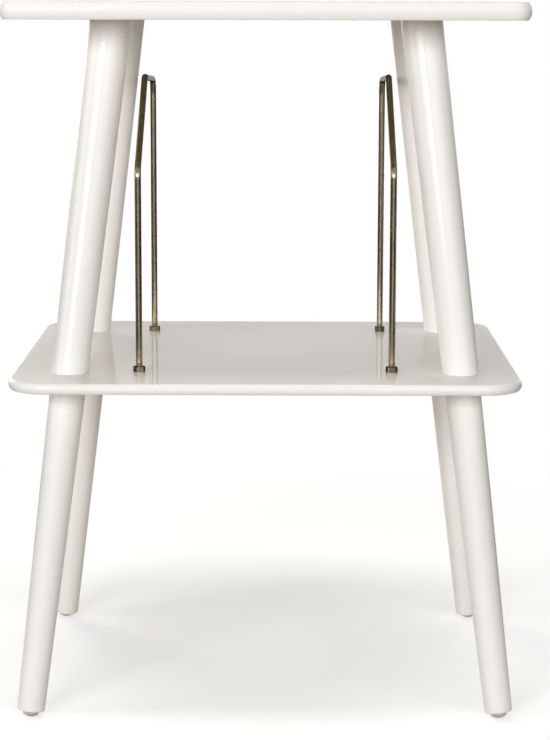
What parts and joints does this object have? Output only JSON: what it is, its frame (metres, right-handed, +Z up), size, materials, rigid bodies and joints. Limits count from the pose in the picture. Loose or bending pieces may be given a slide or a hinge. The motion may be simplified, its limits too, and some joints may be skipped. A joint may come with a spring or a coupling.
{
  "type": "record storage stand",
  "caption": "Two-tier white stand with rounded boards, splayed round tapered legs and two bent-rod dividers that hold records upright on the shelf",
  "frame": {"origin": "on the floor, under the middle of the stand", "axes": "+Z up, +X to the right seen from the front, -Y towards the front"},
  "size_m": [0.47, 0.4, 0.66],
  "materials": {
    "lacquered_board": "white satin lacquer, smooth, soft sheen",
    "lacquered_leg": "white satin lacquer over turned wood",
    "bronze_rod": "dark antique bronze, clear coated",
    "bronze_nut": "dark antique bronze, worn on the edges",
    "zinc_steel": "bright zinc plating",
    "grey_nylon": "matt grey moulded nylon"
  },
  "bodies": {
    "root": {"top_board": "lacquered_board", "shelf_board": "lacquered_board", "upper_leg_front_left": "lacquered_leg", "upper_leg_front_right": "lacquered_leg", "upper_leg_rear_left": "lacquered_leg", "upper_leg_rear_right": "lacquered_leg", "lower_leg_front_left": "lacquered_leg", "lower_leg_front_right": "lacquered_leg", "lower_leg_rear_left": "lacquered_leg", "lower_leg_rear_right": "lacquered_leg", "glide_front_left": "grey_nylon", "glide_front_right": "grey_nylon", "glide_rear_left": "grey_nylon", "glide_rear_right": "grey_nylon", "glide_nails": "zinc_steel", "divider_left": "bronze_rod", "divider_right": "bronze_rod", "divider_upper_nuts": "bronze_nut", "divider_lower_nuts": "bronze_nut", "divider_washers": "zinc_steel", "top_inserts": "zinc_steel", "upper_leg_bolts": "zinc_steel", "upper_leg_inserts": "zinc_steel", "lower_leg_bolts": "zinc_steel"}
  },
  "joints": []
}
